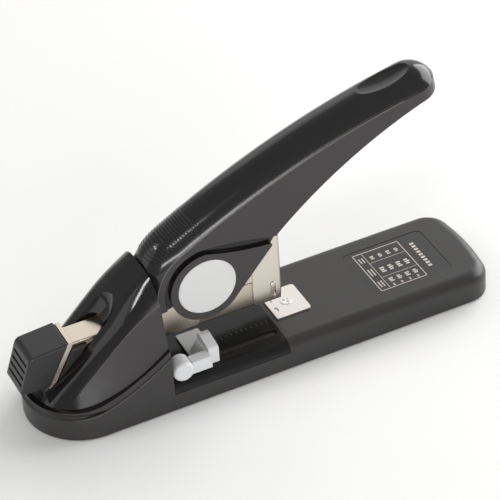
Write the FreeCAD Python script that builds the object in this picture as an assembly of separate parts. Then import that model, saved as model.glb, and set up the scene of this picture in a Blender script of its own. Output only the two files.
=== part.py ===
# Long-reach heavy-duty stapler: a flat base with a humped rear housing, a sprung magazine arm
# that hinges at the rear, a lever handle that drives the staple blade, a rear-loading staple
# drawer and a sliding paper stop. Units are millimetres, +Z up, +X towards the far end of the
# base. Stations along X are measured from the rear end of the base and heights from the
# underside of the base shell; place() moves every piece into the row frame at export.
import FreeCAD, Part
import math
import os

V = FreeCAD.Vector

# ---------------------------------------------------------------- driving dimensions
BASE_LENGTH = 300.0
BASE_WIDTH = 73.3
BASE_TOP = 18.5            # height of the flat top
BASE_EDGE = 7.2            # round along the top edge
BASE_WALL = 2.4
FRONT_CORNER = 16.0        # plan radius of the two corners at the +X end
MAT_DROP = 1.0             # the mat stands this far out under the shell
REAR_RADIUS = BASE_WIDTH / 2
INSERT_DEPTH = 1.0         # thickness of the throat insert
LABEL = (222.0, 277.0, 22.0)       # stations of both ends, half width
LABEL_DEPTH = 0.6
SCREW_SPOTS = [(16, 0), (70, 27), (70, -27), (150, 27), (150, -27), (286, 22), (286, -22)]

HOUSING_FRONT = 80.6       # station of the housing's front edge
SLOPE = 49.2 / 55.0         # rise over run of the hood above the magazine's tail
HOUSING_WALL = 2.4
RIM_WALL = 3.4             # the base's rim round the housing
TUNNEL_HALF = 11.2         # room through the housing for the magazine's tail
TUNNEL_TOP = 56.5

ARM_PIVOT = (44.0, 42.0)   # station, height
HANDLE_PIVOT = (115.3, 65.3)
HANDLE_SWING = 23.3        # degrees
DRIVE_REACH = 27.0         # handle pivot to drive pin, along X
DRIVE_STROKE = 11.0        # blade travel
EAR_RADIUS = 4.8           # round of the pivot bracket's ears
BRACKET_HALF = 13.6        # half width outside the ears
BRACKET_BOLTS = (62.0,)    # stations
ARM_SPRING = (75.6, 4.2)   # station, outer radius
ANVIL = (160.4, 183.5, 13.0)       # stations of both ends, half width
ANVIL_SCREW = (172.3, 3.6)         # station, head radius
ANVIL_TOP = 19.5
HEAD_SLOT = (160.2, 36.2, 44.6)    # station, height of the lower and upper centres
HEAD_SLOT_RADIUS = 1.9
TOP_RIVET = (150.6, 84.0, 1.5)     # station, height, radius

SHEET = 1.2                # steel sheet of the arm
CHANNEL_HALF = 8.2         # half width outside
CHANNEL_BOTTOM = 32.2
CHANNEL_TOP = 49.4
CHANNEL_END = 163.0
COVER_TOP = 51.8
HEAD_BACK = 147.2
HEAD_FRONT = 165.8
HEAD_BOTTOM = 32.5
HEAD_TOP = 90.0
PLATE_HALF = 9.6           # half width outside the side plates and head

NOSE_RADIUS = 31.5         # round of the handle about its pivot
HANDLE_HALF = 15.8
HANDLE_WALL = 2.4
CROWN = 10.6               # rise of the handle's top over its edges
CREST_RADIUS = 528.3       # round of the handle's long upper edge
CREST_ANGLE = 119.64       # where it leaves the nose round, about the pivot
NOSE_LOW = 196.0           # lower end of the nose round, about the pivot
NOSE_FLAT = 81.3           # station of the flat on the nose's rear, just ahead of the hood
TIP_START = 258.8          # station where the round tip begins
TIP_DEPTH = 7.6            # height of the handle's side at the tip
COVER_RADIUS = 23.4        # round boss of the side covers
GROOVE_WIDTH = 4.0
DISC_RADIUS = 18.6
POCKET_DEPTH = 2.2         # of the pockets the covers sit in
LEVER_HALF = 11.6          # half width outside the lever in the handle
AXLE_RADIUS = 4.0
DRIVE_PIN = 2.0            # radius
DRIVE_PLAY = 0.25          # between the drive pin and its upright slot

STRIP = (104.0, 162.6)     # stations of the staple strip's ends
STAPLE_LEG = 10.0
RAIL_HEIGHT = 38.6         # centre of the feed rail
FEED_RAIL_END = 157.0
PUSHER = (96.0, 103.7)     # stations of the pusher's ends
KNOB = (87.8, 26.2)        # station, height
KNOB_RADIUS = 6.6


# ---------------------------------------------------------------- helpers
def box(x0, x1, y0, y1, z0, z1):
    return Part.makeBox(x1 - x0, y1 - y0, z1 - z0, V(x0, y0, z0))


def cyl_y(x, z, radius, y0, y1):
    return Part.makeCylinder(radius, y1 - y0, V(x, y0, z), V(0, 1, 0))


def cyl_z(x, y, radius, z0, z1):
    return Part.makeCylinder(radius, z1 - z0, V(x, y, z0), V(0, 0, 1))


def cyl_x(y, z, radius, x0, x1):
    return Part.makeCylinder(radius, x1 - x0, V(x0, y, z), V(1, 0, 0))


def rounded_wire(points, radii):
    """A closed wire through points, with the corner at each point rounded to its radius."""
    if not isinstance(radii, (list, tuple)):
        radii = [radii] * len(points)
    edges = []
    starts = []
    ends = []
    mids = []
    for i, corner in enumerate(points):
        before = (points[i - 1] - corner).normalize()
        after = (points[(i + 1) % len(points)] - corner).normalize()
        half = before.getAngle(after) / 2
        if radii[i] < 1e-6 or abs(half - math.pi / 2) < 1e-6:
            starts.append(corner)
            mids.append(None)
            ends.append(corner)
            continue
        reach = radii[i] / math.tan(half)
        bisector = (before + after).normalize()
        starts.append(corner + before * reach)
        ends.append(corner + after * reach)
        mids.append(corner + bisector * (radii[i] / math.sin(half) - radii[i]))
    for i in range(len(points)):
        if mids[i] is not None:
            edges.append(Part.Arc(starts[i], mids[i], ends[i]).toShape())
        following = starts[(i + 1) % len(points)]
        if (following - ends[i]).Length > 1e-6:
            edges.append(Part.LineSegment(ends[i], following).toShape())
    return Part.Wire(edges)


def slab_y(points, y0, y1, radii=0.0):
    """A plate across Y from an outline of (station, height) points."""
    wire = rounded_wire([V(x, y0, z) for x, z in points], radii)
    return Part.Face(wire).extrude(V(0, y1 - y0, 0))


def slab_x(points, x0, x1, radii=0.0):
    """A block along X from a section of (y, height) points."""
    wire = rounded_wire([V(x0, y, z) for y, z in points], radii)
    return Part.Face(wire).extrude(V(x1 - x0, 0, 0))


def slab_z(points, z0, z1, radii=0.0):
    """A block up Z from a plan of (station, y) points."""
    wire = rounded_wire([V(x, y, z0) for x, y in points], radii)
    return Part.Face(wire).extrude(V(0, 0, z1 - z0))


def edge_prism_y(edges, y0, y1):
    """A plate across Y from a closed loop of edges drawn at Y = 0."""
    face = Part.Face(Part.Wire(edges))
    face.translate(V(0, y0, 0))
    return face.extrude(V(0, y1 - y0, 0))


def line(a, b):
    return Part.LineSegment(V(a[0], 0, a[1]), V(b[0], 0, b[1])).toShape()


def arc(a, b, c):
    return Part.Arc(V(a[0], 0, a[1]), V(b[0], 0, b[1]), V(c[0], 0, c[1])).toShape()


def polar(centre, radius, degrees):
    angle = math.radians(degrees)
    return (centre[0] + radius * math.cos(angle), centre[1] + radius * math.sin(angle))


def fuse(shapes):
    return shapes[0].fuse(shapes[1:]).removeSplitter() if len(shapes) > 1 else shapes[0]


def group(shapes):
    return Part.makeCompound(shapes)


def mirrored(shape):
    return shape.mirror(V(0, 0, 0), V(0, 1, 0))


def pick_edges(shape, wanted):
    """Edges whose bounding box, given as (xmin, xmax, ymin, ymax, zmin, zmax), passes wanted."""
    chosen = []
    for edge in shape.Edges:
        b = edge.BoundBox
        if wanted(b.XMin, b.XMax, b.YMin, b.YMax, b.ZMin, b.ZMax):
            chosen.append(edge)
    return chosen


# ---------------------------------------------------------------- base
def footprint(inset, z):
    """Plan of the base: a half round rear end and two rounded corners in front."""
    r = REAR_RADIUS - inset
    front = BASE_LENGTH - inset
    corner = FRONT_CORNER - inset
    bow = 1.6
    c = math.sqrt(0.5)
    a1 = V(REAR_RADIUS, -r, z)
    a2 = V(front - bow - corner, -r, z)
    a3 = V(front - bow - corner + corner * c, -r + corner - corner * c, z)
    a4 = V(front - bow, -r + corner, z)
    middle = V(front, 0, z)
    b4 = V(front - bow, r - corner, z)
    b3 = V(a3.x, -a3.y, z)
    b2 = V(a2.x, r, z)
    b1 = V(REAR_RADIUS, r, z)
    rear = V(REAR_RADIUS - r, 0, z)
    return Part.Wire([
        Part.LineSegment(a1, a2).toShape(),
        Part.Arc(a2, a3, a4).toShape(),
        Part.Arc(a4, middle, b4).toShape(),
        Part.Arc(b4, b3, b2).toShape(),
        Part.LineSegment(b2, b1).toShape(),
        Part.Arc(b1, rear, a1).toShape(),
    ])


def base_block(inset, top, edge_radius):
    """The base's outside, or its inside when inset, with the round along its top edge."""
    block = Part.Face(footprint(inset, 0.0)).extrude(V(0, 0, top))
    rim = pick_edges(block, lambda x0, x1, y0, y1, z0, z1: z0 > top - 0.01)
    return block.makeFillet(edge_radius, rim)


def rim_ring(inset, gap, lift):
    """Wall of the rim round the rear housing, and the housing's room for it when grown."""
    outside = rear_plan(inset).common(edge_prism_y(rim_outline(lift), -50, 50))
    return outside.cut(rear_plan(RIM_WALL + gap))


def rim_outline(lift):
    """Side outline of the rim that climbs from the rear end to the housing's front edge."""
    curve = Part.BSplineCurve()
    heights = [(-2.0, 15.0), (18.0, 15.2), (34.0, 17.2), (50.0, 22.4), (66.0, 30.6), (HOUSING_FRONT, 40.2)]
    curve.interpolate([V(x, 0, z + lift) for x, z in heights])
    last = (HOUSING_FRONT, 40.2 + lift)
    first = (-2.0, 15.0 + lift)
    return [curve.toShape(), line(last, (HOUSING_FRONT, 4.0)), line((HOUSING_FRONT, 4.0), (-2.0, 4.0)),
            line((-2.0, 4.0), first)]


def rear_plan(inset):
    """Plan block of the half round rear end, up to the housing's front edge."""
    r = REAR_RADIUS - inset
    wire = Part.Wire([
        Part.LineSegment(V(REAR_RADIUS, -r, 0), V(HOUSING_FRONT, -r, 0)).toShape(),
        Part.LineSegment(V(HOUSING_FRONT, -r, 0), V(HOUSING_FRONT, r, 0)).toShape(),
        Part.LineSegment(V(HOUSING_FRONT, r, 0), V(REAR_RADIUS, r, 0)).toShape(),
        Part.Arc(V(REAR_RADIUS, r, 0), V(REAR_RADIUS - r, 0, 0), V(REAR_RADIUS, -r, 0)).toShape(),
    ])
    return Part.Face(wire).extrude(V(0, 0, 120))


def insert_zone(grow):
    """Where the glossy throat insert lies in the base's top, from the housing to the anvil."""
    return box(HOUSING_FRONT - 0.5, 157.0 + grow, -60, 12.0 + grow, 11.5 - grow, 40)


def label_zone(grow, depth):
    x0, x1, half = LABEL
    low, high = -half - grow, half + grow
    corners = [(x0 - grow, low), (x1 + grow, low), (x1 + grow, high), (x0 - grow, high)]
    return slab_z(corners, BASE_TOP - depth, BASE_TOP + 5, 4.0 + grow)


def base_shell():
    outside = base_block(0.0, BASE_TOP, BASE_EDGE)
    rim = rear_plan(0.0).common(edge_prism_y(rim_outline(0.0), -50, 50))
    rim = rim.cut(rear_plan(RIM_WALL).common(box(-5, HOUSING_FRONT + 5, -50, 50, BASE_TOP, 60)))
    top_edges = pick_edges(rim, lambda x0, x1, y0, y1, z0, z1: z0 > 14.5 and z1 - z0 > 4 and x1 - x0 > 4)
    rim = rim.makeFillet(1.2, top_edges)
    shell = outside.fuse(rim)
    hollow = base_block(BASE_WALL, BASE_TOP - BASE_WALL, BASE_EDGE - BASE_WALL)
    hollow.translate(V(0, 0, -0.01))
    shell = shell.cut(hollow)
    under = base_block(INSERT_DEPTH, BASE_TOP - INSERT_DEPTH, BASE_EDGE - INSERT_DEPTH)
    skin = base_block(-1.0, BASE_TOP + 1, BASE_EDGE + 1).cut(under)
    shell = shell.cut(skin.common(insert_zone(0.15)).common(box(HOUSING_FRONT, 160, -60, 60, 0, 40)))
    shell = shell.cut(label_zone(0.15, LABEL_DEPTH))
    for x, y in SCREW_SPOTS:
        boss = cyl_z(x, y, 4.2, 2.6, BASE_TOP - BASE_WALL + 0.1).cut(cyl_z(x, y, 1.3, 0, 13))
        shell = shell.fuse(boss)
    shell = shell.cut(cyl_z(ANVIL_SCREW[0], 0, 2.1, 10, 30))
    for x in BRACKET_BOLTS:
        shell = shell.cut(cyl_z(x, 0, 2.1, 10, 30))
    return shell.removeSplitter()


def throat_insert():
    """Thin glossy liner of the throat, let into the base's top and over its near edge."""
    outer = base_block(0.0, BASE_TOP, BASE_EDGE)
    inner = base_block(INSERT_DEPTH, BASE_TOP - INSERT_DEPTH, BASE_EDGE - INSERT_DEPTH)
    liner = outer.cut(inner).common(insert_zone(0.0)).common(box(HOUSING_FRONT + 0.2, 160, -60, 60, 0, 40))
    slot = slab_z([(84, -24.2), (155, -24.2), (155, -19.8), (84, -19.8)], 10, 30, 2.1)
    return liner.cut(slot)


def label_plate():
    x0, x1, half = LABEL
    corners = [(x0, -half), (x1, -half), (x1, half), (x0, half)]
    return slab_z(corners, BASE_TOP - LABEL_DEPTH, BASE_TOP - 0.25, 4.0)


def bottom_plate():
    plate = Part.Face(footprint(BASE_WALL + 0.2, 1.0)).extrude(V(0, 0, 1.6))
    for x, y in SCREW_SPOTS:
        plate = plate.cut(cyl_z(x, y, 1.7, 0, 5))
    return plate


def rubber_mat():
    mat = Part.Face(footprint(4.5, -MAT_DROP)).extrude(V(0, 0, MAT_DROP + 1.0))
    for x, y in SCREW_SPOTS:
        mat = mat.cut(cyl_z(x, y, 3.6, -2, 3))
    return mat


def bottom_screws():
    screws = []
    for x, y in SCREW_SPOTS:
        head = cyl_z(x, y, 2.9, -0.4, 1.0)
        along = box(x - 2, x + 2, y - 0.35, y + 0.35, -1, 0.2)
        across = box(x - 0.35, x + 0.35, y - 2, y + 2, -1, 0.2)
        screws.append(head.cut([along, across]).fuse(cyl_z(x, y, 1.3, 1.0, 11.0)))
    return group(screws)


# ---------------------------------------------------------------- rear housing
# Half sections of the hood: station, middle height, then (y, height) of shoulder, crease and foot.
HOOD = [
    (-6.0, 7.8, (16.0, 6.5), (23.0, 4.0), (34.0, 0.0)),
    (8.0, 20.4, (17.5, 19.0), (23.5, 14.5), (34.0, 6.0)),
    (20.0, 31.1, (19.0, 29.6), (24.5, 23.5), (34.2, 12.0)),
    (32.0, 41.8, (19.8, 40.6), (25.0, 33.0), (34.6, 15.0)),
    (44.0, 52.6, (20.4, 51.6), (25.2, 44.5), (34.8, 19.0)),
    (56.0, 63.8, (21.0, 62.4), (25.6, 56.6), (35.0, 24.0)),
    (68.0, 75.6, (21.6, 72.4), (26.2, 66.6), (35.2, 29.0)),
    (82.0, 86.4, (22.4, 80.6), (26.8, 73.2), (35.4, 34.0)),
]


def hood_row(entry, inset):
    """One row of the hood's control net, drawn in by inset."""
    x, middle, shoulder, crease, foot = entry
    panel = ((crease[0] * 3 + foot[0]) / 4, (crease[1] * 3 + foot[1]) / 4)
    half = [(6.5, middle), (13.5, middle - 0.3), shoulder, crease, crease, panel, foot,
            (foot[0] + 8, foot[1] - 26)]
    half = [(y - inset * min(1.0, y / 20.0), z - inset * 1.5) for y, z in half]
    right = [V(x, y, z) for y, z in half]
    left = [V(x, -y, z) for y, z in reversed(half)]
    return left + right


def hood_solid(inset):
    """Everything under the hood's smooth outer face."""
    rows = [hood_row(entry, inset) for entry in HOOD]
    across, along = len(rows[0]), len(rows)
    face = Part.BSplineSurface()
    face.buildFromPolesMultsKnots(
        rows, [4] + [1] * (along - 4) + [4], [4] + [1] * (across - 4) + [4],
        list(range(along - 2)), list(range(across - 2)), False, False, 3, 3)
    return face.toShape().extrude(V(0, 0, -120))


def slope_point(station):
    """Height of the hood's straight slope at a station."""
    return 15.0 + (station - 2.0) * SLOPE


def housing_block(inset):
    return rear_plan(RIM_WALL - 1.9 + inset).common(hood_solid(inset)).common(box(-5, 90, -50, 50, 0, 100))


def scoop_cutter(grow):
    """Shallow trough in the slope above the magazine's tail, with a round upper end."""
    lean = math.atan(SLOPE)
    radius = 19.0 + grow
    lift = 15.8
    start = V(0 - lift * math.sin(lean), 0, slope_point(0) + lift * math.cos(lean))
    axis = V(math.cos(lean), 0, math.sin(lean))
    length = 72.0
    trough = Part.makeCylinder(radius, length, start, axis)
    return trough.fuse(Part.makeSphere(radius, start + axis * length))


def tunnel_cutter():
    half = TUNNEL_HALF
    section = [(-half, 25.0), (half, 25.0), (half, TUNNEL_TOP), (-half, TUNNEL_TOP)]
    return slab_x(section, -10, 90, [2.0, 2.0, 7.0, 7.0])


def rear_housing():
    block = housing_block(0.0).cut(scoop_cutter(0.0))
    bead = rear_plan(0.9).common(edge_prism_y(rim_outline(4.6), -50, 50))
    block = block.fuse(bead.cut(rear_plan(4.5)))
    hollow = housing_block(HOUSING_WALL + 0.6).cut(scoop_cutter(HOUSING_WALL))
    block = block.cut(hollow).cut(tunnel_cutter())
    block = block.cut(rim_ring(-1.0, 0.1, 0.1))
    for side in (-1, 1):
        y = side * (BRACKET_HALF - 0.2)
        block = block.cut(cyl_y(ARM_PIVOT[0], ARM_PIVOT[1], EAR_RADIUS + 1.4, y - 2.2, y + 2.2))
    block = block.cut(box(-10, 100, -60, 60, 0, BASE_TOP))
    return block.removeSplitter()


# ---------------------------------------------------------------- frame inside the housing
def arm_bracket():
    """Steel U bracket bolted to the base; its ears carry the arm's pivot pins."""
    x, z = ARM_PIVOT
    r = EAR_RADIUS
    ear = [(x - 10, BASE_TOP), (x + 16, BASE_TOP), (x + r + 0.4, z + r), (x - r, z + r)]
    ears = [slab_y(ear, y, y + 2.0, [0, 0, r, r - 0.2]) for y in (-BRACKET_HALF, BRACKET_HALF - 2.0)]
    floor = box(x - 10, 70.5, -BRACKET_HALF, BRACKET_HALF, BASE_TOP, BASE_TOP + 2.0)
    bracket = fuse(ears + [floor])
    bracket = bracket.cut(cyl_y(x, z, 3.0, -20, 20))
    for bolt in BRACKET_BOLTS:
        bracket = bracket.cut(cyl_z(bolt, 0, 2.1, 10, 30))
    return bracket


def bracket_bolts():
    bolts = []
    for x in BRACKET_BOLTS:
        socket = cyl_z(x, 0, 1.6, BASE_TOP + 3.2, BASE_TOP + 6)
        head = cyl_z(x, 0, 3.6, BASE_TOP + 2.0, BASE_TOP + 4.4).cut(socket)
        bolts.append(head.fuse(cyl_z(x, 0, 2.1, BASE_TOP - 6.0, BASE_TOP + 2.0)))
    return group(bolts)


def arm_pivot_pins():
    """Two stub pins, one in each ear, so that the magazine between them stays clear."""
    x, z = ARM_PIVOT
    y = BRACKET_HALF + 0.4
    pin = cyl_y(x, z, 3.0, CHANNEL_HALF - SHEET + 0.1, BRACKET_HALF + 1.6)
    pin = pin.cut(cyl_y(x, z, 3.5, y, y + 0.6).cut(cyl_y(x, z, 2.3, y, y + 0.6)))
    return group([pin, mirrored(pin)])


def pin_clips():
    x, z = ARM_PIVOT
    clips = []
    for y in (-BRACKET_HALF - 1.0, BRACKET_HALF + 0.4):
        clip = cyl_y(x, z, 5.0, y, y + 0.6).cut(cyl_y(x, z, 2.3, y, y + 0.6))
        clips.append(clip.cut(box(x - 1.6, x + 1.6, y, y + 0.6, z, z + 8)))
    return group(clips)


def arm_return_spring():
    """Closed sleeve of the return spring's outer and inner size, under the magazine."""
    x, radius = ARM_SPRING
    return cyl_z(x, 0, radius, BASE_TOP, CHANNEL_BOTTOM).cut(cyl_z(x, 0, radius - 1.0, 0, 60))


# ---------------------------------------------------------------- anvil
def anvil_plate():
    x0, x1, half = ANVIL
    outline = [(x0, -half), (x1, -half), (x1, half), (x0, half)]
    plate = slab_z(outline, BASE_TOP, ANVIL_TOP, [0.8, 2.2, 2.2, 0.8])
    for side in (-1, 1):
        near, far = side * 2.6, side * 7.0
        pocket = [(162.4, near), (164.8, near), (164.8, far), (162.4, far)]
        plate = plate.cut(slab_z(pocket, ANVIL_TOP - 0.7, ANVIL_TOP + 1, 1.1))
    screw, radius = ANVIL_SCREW
    plate = plate.cut(cyl_z(screw, 0, radius + 0.05, ANVIL_TOP - 0.6, 30))
    return plate.cut(cyl_z(screw, 0, 2.1, 10, 30))


def anvil_screw():
    x, radius = ANVIL_SCREW
    head = cyl_z(x, 0, radius, ANVIL_TOP - 0.6, ANVIL_TOP + 0.25)
    rim = pick_edges(head, lambda x0, x1, y0, y1, z0, z1: z0 > ANVIL_TOP)
    head = head.makeFillet(0.2, rim)
    for turn in (0, 90):
        slot = box(x - 2.2, x + 2.2, -0.4, 0.4, ANVIL_TOP - 0.3, ANVIL_TOP + 1)
        slot.rotate(V(x, 0, 0), V(0, 0, 1), turn + 35)
        head = head.cut(slot)
    return head.fuse(cyl_z(x, 0, 2.1, 10.0, ANVIL_TOP - 0.6))


# ---------------------------------------------------------------- magazine arm
def tail_end_points(gap):
    """The slanted rear end that the magazine and the drawer's end plate share."""
    return (31.4 + gap, 54.0), (19.3 + gap, CHANNEL_BOTTOM)


def tail_cutter(gap):
    """Everything behind the slanted rear end."""
    high, low = tail_end_points(gap)
    slope = (high[0] - low[0]) / (high[1] - low[1])
    top = (high[0] + slope * 30, high[1] + 30)
    bottom = (low[0] - slope * 30, low[1] - 30)
    return slab_y([top, (-60, top[1]), (-60, bottom[1]), bottom], -40, 40)


def magazine_channel():
    """U channel that holds the staples, open on top, with a mouth under the blade."""
    room = CHANNEL_HALF - SHEET
    outer = box(14, CHANNEL_END, -CHANNEL_HALF, CHANNEL_HALF, CHANNEL_BOTTOM, CHANNEL_TOP)
    inner = box(10, CHANNEL_END + 1, -room, room, CHANNEL_BOTTOM + SHEET, CHANNEL_TOP + 1)
    channel = outer.cut(inner).cut(tail_cutter(0.6))
    low_edges = pick_edges(channel, lambda x0, x1, y0, y1, z0, z1:
                           z1 < CHANNEL_BOTTOM + 0.01 and x1 - x0 > 50 and y1 - y0 < 0.1)
    channel = channel.makeFillet(1.0, low_edges)
    mouth = box(160.2, CHANNEL_END + 1, -room, room, 0, CHANNEL_BOTTOM + 5)
    pivot = cyl_y(ARM_PIVOT[0], ARM_PIVOT[1], 3.05, -20, 20)
    axle_gap = cyl_y(HANDLE_PIVOT[0], HANDLE_PIVOT[1], 4.2, -20, 20)
    return channel.cut(mouth).cut(pivot).cut(axle_gap)


def magazine_cover():
    """Folded steel lid over the channel, with short flanges over the sleeve at the tail."""
    outer = box(20, 139.0, -CHANNEL_HALF, CHANNEL_HALF, CHANNEL_TOP + 0.4, COVER_TOP)
    top_edges = pick_edges(outer, lambda x0, x1, y0, y1, z0, z1: z0 > COVER_TOP - 0.01 and x1 - x0 > 50)
    outer = outer.makeFillet(0.9, top_edges)
    inner = box(10, 140.0, -CHANNEL_HALF + SHEET, CHANNEL_HALF - SHEET, CHANNEL_TOP - 5, COVER_TOP - SHEET)
    return outer.cut(inner).cut(tail_cutter(0.6))


def tail_sleeve():
    """Black moulded sleeve round the magazine's tail."""
    half = TUNNEL_HALF - 0.4
    outer = box(10, 41.0, -half, half, CHANNEL_BOTTOM - 2.0, CHANNEL_TOP - 0.2)
    long_edges = pick_edges(outer, lambda x0, x1, y0, y1, z0, z1: x1 - x0 > 20)
    outer = outer.makeFillet(1.0, long_edges)
    inner = box(0, 60, -CHANNEL_HALF - 0.02, CHANNEL_HALF + 0.02, CHANNEL_BOTTOM - 0.02, 60)
    sleeve = outer.cut(inner).cut(tail_cutter(0.6))
    return sleeve.cut(cyl_y(ARM_PIVOT[0], ARM_PIVOT[1], 8.6, -20, 20))


def side_plate(side):
    """Steel side plate from the rear pivot to the head; it carries the handle's axle."""
    px, pz = ARM_PIVOT
    hx, hz = HANDLE_PIVOT
    ear = polar(ARM_PIVOT, 8.0, 180)
    ear_low = polar(ARM_PIVOT, 8.0, 262)
    ear_high = polar(ARM_PIVOT, 8.0, 98)
    boss_back = polar(HANDLE_PIVOT, 11.0, 128)
    boss_top = polar(HANDLE_PIVOT, 11.0, 95)
    boss_front = polar(HANDLE_PIVOT, 11.0, 62)
    outline = [
        arc(ear_high, ear, ear_low),
        line(ear_low, (110.0, 35.0)),
        line((110.0, 35.0), (122.0, 51.2)),
        line((122.0, 51.2), (HEAD_BACK - 0.2, 51.2)),
        line((HEAD_BACK - 0.2, 51.2), (HEAD_BACK - 0.2, 80.0)),
        line((HEAD_BACK - 0.2, 80.0), boss_front),
        arc(boss_front, boss_top, boss_back),
        line(boss_back, (92.0, 55.0)),
        line((92.0, 55.0), (80.0, 53.4)),
        line((80.0, 53.4), ear_high),
    ]
    plate = edge_prism_y(outline, CHANNEL_HALF + 0.02, PLATE_HALF)
    plate = plate.cut(cyl_y(px, pz, 3.05, 0, 20)).cut(cyl_y(hx, hz, 4.0, 0, 20))
    x, z = drive_pin_place()
    plate = plate.cut(drive_slot(x, z, 0, 20))
    return plate if side > 0 else mirrored(plate)


def drive_pin_place():
    """Rest place of the drive pin, so that half its drop lies above the handle's axle level."""
    half_swing = math.radians(HANDLE_SWING / 2)
    return HANDLE_PIVOT[0] + DRIVE_REACH, HANDLE_PIVOT[1] + DRIVE_REACH * math.tan(half_swing)


def drive_slot(x, z, y0, y1):
    """Upright slot that the drive pin runs down in the side plates."""
    r = DRIVE_PIN + DRIVE_PLAY
    low = z - DRIVE_STROKE - 0.4
    slot = box(x - r, x + r, y0, y1, low, z + 0.4)
    return slot.fuse([cyl_y(x, low, r, y0, y1), cyl_y(x, z + 0.4, r, y0, y1)])


def head_slot(y0, y1):
    """Obround slot low in the head's side; the rivet at its top sets the head's height."""
    x, low, high = HEAD_SLOT
    r = HEAD_SLOT_RADIUS
    corners = [(x - r, low - r), (x + r, low - r), (x + r, high + r), (x - r, high + r)]
    return slab_y(corners, y0, y1, r - 0.01)


def head_housing():
    """Steel sleeve of the head: two sides joined by the wall behind the blade's top."""
    sides = []
    outline = [(HEAD_BACK, HEAD_BOTTOM), (164.6, HEAD_BOTTOM), (164.6, HEAD_TOP), (HEAD_BACK, HEAD_TOP)]
    for y in (-PLATE_HALF, CHANNEL_HALF + 0.02):
        sides.append(slab_y(outline, y, y + PLATE_HALF - CHANNEL_HALF - 0.02, [0.4, 0.4, 3.0, 3.0]))
    bridge = box(HEAD_BACK, HEAD_BACK + 1.4, -PLATE_HALF + 0.5, PLATE_HALF - 0.5, 80.0, HEAD_TOP - 3)
    head = fuse(sides + [bridge])
    x, z, radius = TOP_RIVET
    return head.cut(head_slot(-20, 20)).cut(cyl_y(x, z, radius, -20, 20))


def head_front_plate():
    """Front of the head: a folded strip that closes the sleeve and guides the blade."""
    plate = box(164.7, HEAD_FRONT, -PLATE_HALF, PLATE_HALF, HEAD_BOTTOM, HEAD_TOP)
    upright = pick_edges(plate, lambda x0, x1, y0, y1, z0, z1: z1 - z0 > 40 and x0 > HEAD_FRONT - 0.01)
    plate = plate.makeFillet(0.9, upright)
    inside = CHANNEL_HALF - 0.1
    lips = [box(162.9, 164.8, y, y + 1.0, 52.0, HEAD_TOP) for y in (-inside, inside - 1.0)]
    return fuse([plate] + lips)


def head_rivets():
    """Rivets in the head's slots and a through rivet near its top."""
    x, _, high = HEAD_SLOT
    rivet = cyl_y(x, high, 1.75, CHANNEL_HALF, PLATE_HALF + 0.5)
    ends = pick_edges(rivet, lambda x0, x1, y0, y1, z0, z1: y0 > PLATE_HALF + 0.4)
    rivet = rivet.makeFillet(0.4, ends)
    x, z, radius = TOP_RIVET
    through = cyl_y(x, z, radius, -PLATE_HALF - 0.2, PLATE_HALF + 0.2)
    return group([rivet, mirrored(rivet), through])


def handle_axle():
    x, z = HANDLE_PIVOT
    return cyl_y(x, z, AXLE_RADIUS, -13.4, 13.4)


def axle_spacer():
    """Tube on the axle between the two side plates."""
    x, z = HANDLE_PIVOT
    return cyl_y(x, z, 5.6, -CHANNEL_HALF, CHANNEL_HALF).cut(cyl_y(x, z, AXLE_RADIUS, -20, 20))


def handle_return_spring():
    """Coils of the handle's torsion spring, as one sleeve round the spacer."""
    x, z = HANDLE_PIVOT
    return cyl_y(x, z, 7.4, -6.8, 6.8).cut(cyl_y(x, z, 5.9, -20, 20))


# ---------------------------------------------------------------- driver
def driver_blade():
    return box(162.9, 164.3, -6.2, 6.2, HEAD_BOTTOM + DRIVE_STROKE + 0.2, 78.0)


def driver_carrier():
    """Block that holds the blade and the drive pin, between the side plates."""
    x, z = drive_pin_place()
    outline = [(x - 5.0, z - 5.0), (162.9, z - 5.0), (162.9, z + 6.0), (x - 5.0, z + 6.0)]
    block = slab_y(outline, -6.6, 6.6, [4.5, 0.5, 0.5, 4.5])
    stem = box(158.2, 162.9, -6.2, 6.2, 55.0, z - 4.9)
    window = box(HEAD_BACK - 3, 157.5, -4.2, 4.2, 0, z + 2.5)
    return fuse([block.cut(window), stem]).cut(cyl_y(x, z, DRIVE_PIN, -20, 20))


def drive_pin():
    x, z = drive_pin_place()
    return cyl_y(x, z, DRIVE_PIN, -11.7, 11.7)


# ---------------------------------------------------------------- handle
def crest_centre():
    angle = math.radians(CREST_ANGLE)
    reach = CREST_RADIUS - NOSE_RADIUS
    return HANDLE_PIVOT[0] - reach * math.cos(angle), HANDLE_PIVOT[1] - reach * math.sin(angle)


def crest_at(station, inset=0.0):
    """Height of the handle's upper edge at a station."""
    cx, cz = crest_centre()
    return cz + math.sqrt((CREST_RADIUS - inset) ** 2 - (station - cx) ** 2)


def crest_slope(station):
    """Angle of the handle's upper edge at a station, in degrees."""
    cx, cz = crest_centre()
    return math.degrees(math.asin((station - cx) / CREST_RADIUS))


def tip_point(depth):
    """Point below the upper edge where the round tip begins, square to that edge."""
    tilt = math.radians(-crest_slope(TIP_START))
    return TIP_START + depth * math.sin(tilt), crest_at(TIP_START) - depth * math.cos(tilt)


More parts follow.
